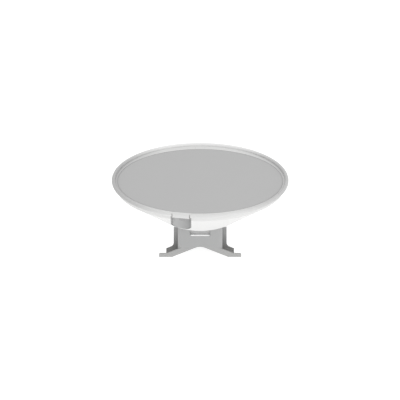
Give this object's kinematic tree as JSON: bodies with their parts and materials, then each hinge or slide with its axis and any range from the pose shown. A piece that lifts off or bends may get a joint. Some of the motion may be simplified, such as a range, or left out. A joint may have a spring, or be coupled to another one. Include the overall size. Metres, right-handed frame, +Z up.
{
  "type": "radar dome antenna",
  "caption": "Round marine radar dome: shallow white bowl with a flat hinged grey lid and latch on a cast pedestal, with a geared rotating array inside.",
  "frame": {"origin": "on the deck, on the vertical axis that the array turns about, which is the bottom centre of the whole", "axes": "+Z up, front (latch side) towards -Y, +X to the right seen from the front"},
  "size_m": [0.61, 0.6099, 0.2762],
  "materials": {
    "shell_white": "moulded white, fine satin",
    "lid_grey": "fine-grained pale grey",
    "bead_white": "soft white edge trim",
    "pocket_grey": "fine-grained grey",
    "pedestal_grey": "powder-coated casting",
    "frame_grey": "powder-coated casting, darker",
    "stainless": "brushed",
    "black_rubber": "matte",
    "alloy": "machined",
    "bearing_steel": "ground",
    "acetal": "natural acetal",
    "brass_pinion": "machined",
    "board_green": "solder mask",
    "black_plastic": "matte",
    "can_steel": "tinned",
    "window_cream": "plain"
  },
  "bodies": {
    "base": {"access_plate": "pedestal_grey", "access_screws": "stainless", "base_hinge_leaf": "stainless", "bearing_housing": "alloy", "board_spacers": "alloy", "breather_valve": "black_plastic", "chassis_plate": "alloy", "chassis_screws": "stainless", "chassis_standoffs": "alloy", "data_socket": "black_plastic", "drive_motor": "black_plastic", "foot_pads": "black_rubber", "frame_screws": "stainless", "front_casting": "pedestal_grey", "heat_sink": "black_plastic", "hinge_pin": "stainless", "hinge_screws": "stainless", "housing_screws": "stainless", "keeper_bar": "stainless", "latch_pocket": "pocket_grey", "lower_bearing": "bearing_steel", "lower_shell": "shell_white", "motor_screws": "stainless", "position_sensor": "black_plastic", "power_board": "board_green", "power_capacitors": "can_steel", "power_inductor": "black_plastic", "power_socket": "black_plastic", "processor_board": "board_green", "rear_frame": "frame_grey", "rim_seal": "black_rubber", "rotary_joint": "brass_pinion", "shell_bolts": "stainless", "shell_nuts": "stainless", "shield_can": "can_steel", "top_plate": "alloy", "transceiver": "alloy", "upper_bearing": "bearing_steel"},
    "cover": {"top_cover": "lid_grey", "cover_trim_front": "bead_white", "cover_trim_rear": "bead_white", "cover_hinge_leaf": "stainless", "cover_rivets": "stainless", "latch_pin": "stainless", "latch_spring": "stainless"},
    "latch": {"latch_tab": "bead_white"},
    "antenna": {"spindle": "bearing_steel", "driven_gear": "acetal", "zero_magnet": "can_steel", "array_bracket": "alloy", "array_screws": "stainless", "array_housing": "alloy", "array_window": "window_cream", "array_end_caps": "black_plastic"},
    "rotor": {"motor_shaft": "bearing_steel", "motor_pinion": "brass_pinion"}
  },
  "joints": [
    {"name": "cover_hinge", "type": "hinge", "parent": "base", "child": "cover", "pos_m": [0, 0.2965, 0.256], "axis": [-1, 0, 0], "range_deg": [0, 80]},
    {"name": "latch_swing", "type": "hinge", "parent": "cover", "child": "latch", "pos_m": [-0.06555, -0.2897, 0.27], "axis": [-0.9753, 0.2207, 0], "range_deg": [0, 50], "stiffness_Nm_per_rad": 0.05, "springref_deg": -11.46},
    {"name": "antenna_spin", "type": "hinge", "parent": "base", "child": "antenna", "pos_m": [0, 0, 0.2], "axis": [0, 0, 1], "continuous": true},
    {"name": "motor_spin", "type": "hinge", "parent": "base", "child": "rotor", "pos_m": [0.09, 0, 0.2], "axis": [0, 0, 1], "continuous": true}
  ],
  "couplings": [
    {"joint": "motor_spin", "follows": "antenna_spin", "ratio": -4}
  ]
}
